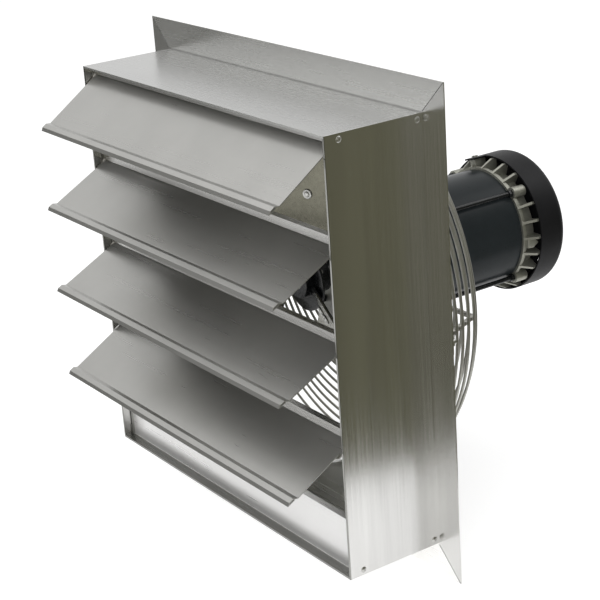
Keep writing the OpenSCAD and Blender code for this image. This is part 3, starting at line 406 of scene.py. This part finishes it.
for k in range(BLADES):
    turn = (Matrix.Rotation(math.radians(BLADE_TURN + 360 / BLADES * k - 90), 4, "Y")
            @ Matrix.Translation((0, PROP_Y, 0)) @ Matrix.Rotation(math.radians(BLADE_PITCH), 4, "X"))
    for r in RIVET_PLACES:
        for head, y, quarter in ((FRONT_HEAD, head_y, math.pi / 2), (BACK_HEAD, SPIDER_T / 2, -math.pi / 2)):
            turned(bm, head, turn @ Matrix.Translation((r, y, 0)) @ Matrix.Rotation(quarter, 4, "X"))
piece("rivet_heads", bm, "zinc", "rotor", 50)

# Pointed pad cast on the rear bell between two fins: its outline in y and z, and its low and high x
PAD = [(0.2885, 0.0005), (0.2885, -0.0120), (0.2955, -0.0120), (0.3025, -0.0060), (0.2955, 0.0005)]
PAD_LOW, PAD_HIGH, PAD_SLOPE, PAD_ROUND = 0.0675, 0.0782, 0.25, 0.0007
bm = bmesh.new()
low = [bm.verts.new((PAD_LOW, y, z)) for y, z in PAD]
high = [bm.verts.new((PAD_HIGH + PAD_SLOPE * (y - PAD[0][0]), y, z)) for y, z in PAD]
for k in range(len(PAD)):
    q = (k + 1) % len(PAD)
    bm.faces.new((low[k], low[q], high[q], high[k]))
bm.faces.new(low)
bm.faces.new(high)
bmesh.ops.bevel(bm, geom=bm.edges[:], offset=PAD_ROUND, segments=2, profile=0.5, affect="EDGES")
piece("bell_pad", bm, "cast_metal", "root")

# Stage: a pale floor, and dark cards that show only in reflections
WHITE = (1, 1, 1)
FLOOR_Z = cad_box[0].z - 0.001
FLOOR_SIZE, FLOOR_GREY, FLOOR_GLOW = 12, 0.8, 0.55


def plane(name, size, place, turn=(0, 0, 0)):
    mesh = bpy.data.meshes.new(name)
    w, h = size[0] / 2, size[1] / 2
    mesh.from_pydata([(-w, -h, 0), (w, -h, 0), (w, h, 0), (-w, h, 0)], [], [(0, 1, 2, 3)])
    obj = link(name, mesh)
    obj.location = place
    obj.rotation_euler = turn
    return obj


def screen(name, size, place, turn, colour):
    """An upright card on the floor that shows only in reflections."""
    middle = FLOOR_Z + size[1] / 2
    obj = plane(name, size, (place[0], place[1], middle), (math.radians(90), 0, math.radians(turn)))
    obj.visible_camera = False
    obj.visible_diffuse = False
    obj.visible_shadow = False
    t = Tree(bpy.data.materials.new(name))
    t.join(t.light("ShaderNodeEmission", colour).outputs[0], t.out.inputs["Surface"])
    obj.data.materials.append(t.owner)


floor = plane("floor", (FLOOR_SIZE, FLOOR_SIZE), (0, 0, FLOOR_Z))
t = Tree(bpy.data.materials.new("floor_white"))
matte = t.add("ShaderNodeBsdfDiffuse")
matte.inputs["Color"].default_value = (FLOOR_GREY, FLOOR_GREY, FLOOR_GREY, 1)
glow = t.light("ShaderNodeEmission", WHITE)
lift = t.add("ShaderNodeMath", operation="MULTIPLY")
lift.inputs[1].default_value = FLOOR_GLOW
t.join(t.seen_directly(), lift.inputs[0])
t.join(lift.outputs[0], glow.inputs["Strength"])
total = t.add("ShaderNodeAddShader")
t.join(matte.outputs[0], total.inputs[0])
t.join(glow.outputs[0], total.inputs[1])
t.join(total.outputs[0], t.out.inputs["Surface"])
floor.data.materials.append(t.owner)

screen("screen_front", (1.2, 0.75), (0.465, -0.63), 90, (0.175, 0.171, 0.125))
screen("screen_right", (0.8, 0.75), (0.422, 0.352), 104.5, (0.125, 0.122, 0.082))
screen("screen_left", (3.5, 0.9), (-1.35, -1.17), -49, (0.16, 0.16, 0.15))

# World: white where it is seen, softer as a light
SOFT = 0.55
t = Tree(bpy.data.worlds.new("studio"), "ShaderNodeOutputWorld")
scene.world = t.owner
blend = t.add("ShaderNodeMixShader")
t.join(t.seen_directly(), blend.inputs[0])
t.join(t.light("ShaderNodeBackground", WHITE, SOFT).outputs[0], blend.inputs[1])
t.join(t.light("ShaderNodeBackground", WHITE).outputs[0], blend.inputs[2])
t.join(blend.outputs[0], t.out.inputs["Surface"])


def lamp(name, place, aim, size, power):
    data = bpy.data.lights.new(name, "AREA")
    data.shape = "RECTANGLE"
    data.size, data.size_y = size
    data.energy = power
    obj = bpy.data.objects.new(name, data)
    obj.location = place
    obj.rotation_euler = (Vector(aim) - Vector(place)).to_track_quat("-Z", "Y").to_euler()
    scene.collection.objects.link(obj)


lamp("key", (-1.2, -1.6, 2.4), (0, 0, 0), (1.8, 1.4), 26)
lamp("fill", (1.75, -1.35, 0.95), (0, 0, 0), (1.2, 1.2), 16)
lamp("rim", (0.6, 2.2, 1.8), (0, 0.15, 0), (1.4, 1.2), 10)
